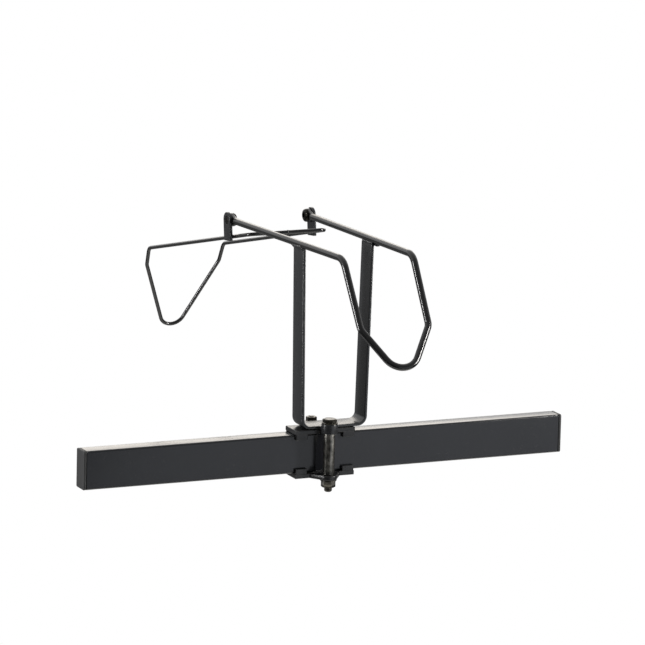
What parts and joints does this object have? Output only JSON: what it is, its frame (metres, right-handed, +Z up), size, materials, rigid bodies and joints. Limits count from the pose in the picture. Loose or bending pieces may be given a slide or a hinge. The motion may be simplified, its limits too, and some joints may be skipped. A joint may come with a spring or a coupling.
{
  "type": "bicycle wheel rack",
  "caption": "Wheel cradle clamped on a level box rail: upright yoke, front rod hoop, and a thinner rear rod hoop that folds up on pivot bolts.",
  "frame": {"origin": "middle of the rail's flat back face, halfway along the rail and halfway up it", "axes": "+X along the rail, +Y out of the rail's back face towards the rear hoop, +Z up"},
  "size_m": [0.5316, 0.6016, 0.2617],
  "materials": {
    "rail": "satin black powder coat over steel box tube",
    "end_plug": "moulded black polyethylene",
    "clamp_plate": "satin black powder coat",
    "yoke": "satin black powder coat",
    "hoop_rod": "satin black powder coat",
    "strap": "satin black powder coat",
    "sleeve": "black zinc-plated turned steel",
    "fastener": "black oxide steel"
  },
  "bodies": {
    "rail": {"rail": "rail", "rail_end_plug_right": "end_plug", "rail_end_plug_left": "end_plug"},
    "cradle": {"upper_clamp_plate": "clamp_plate", "lower_clamp_plate": "clamp_plate", "yoke": "yoke", "front_hoop": "hoop_rod", "lug_right": "strap", "lug_left": "strap", "spacer_sleeve_front": "sleeve", "spacer_sleeve_rear": "sleeve", "clamp_collar_front": "fastener", "clamp_bolt_front": "fastener", "clamp_nut_front": "fastener", "clamp_bolt_rear": "fastener", "clamp_nut_rear": "fastener"},
    "folding_hoop": {"rear_hoop": "hoop_rod", "strap_right": "strap", "strap_left": "strap", "pivot_bolt_right": "fastener", "pivot_bolt_left": "fastener"}
  },
  "joints": [
    {"name": "clamp_slide", "type": "slide", "parent": "rail", "child": "cradle", "axis": [1, 0, 0], "range_m": [-0.2, 0.2]},
    {"name": "rear_hoop_fold", "type": "hinge", "parent": "cradle", "child": "folding_hoop", "pos_m": [0.0065, 0.1521, 0.2104], "axis": [1, 0, 0], "range_deg": [-3, 190]}
  ]
}
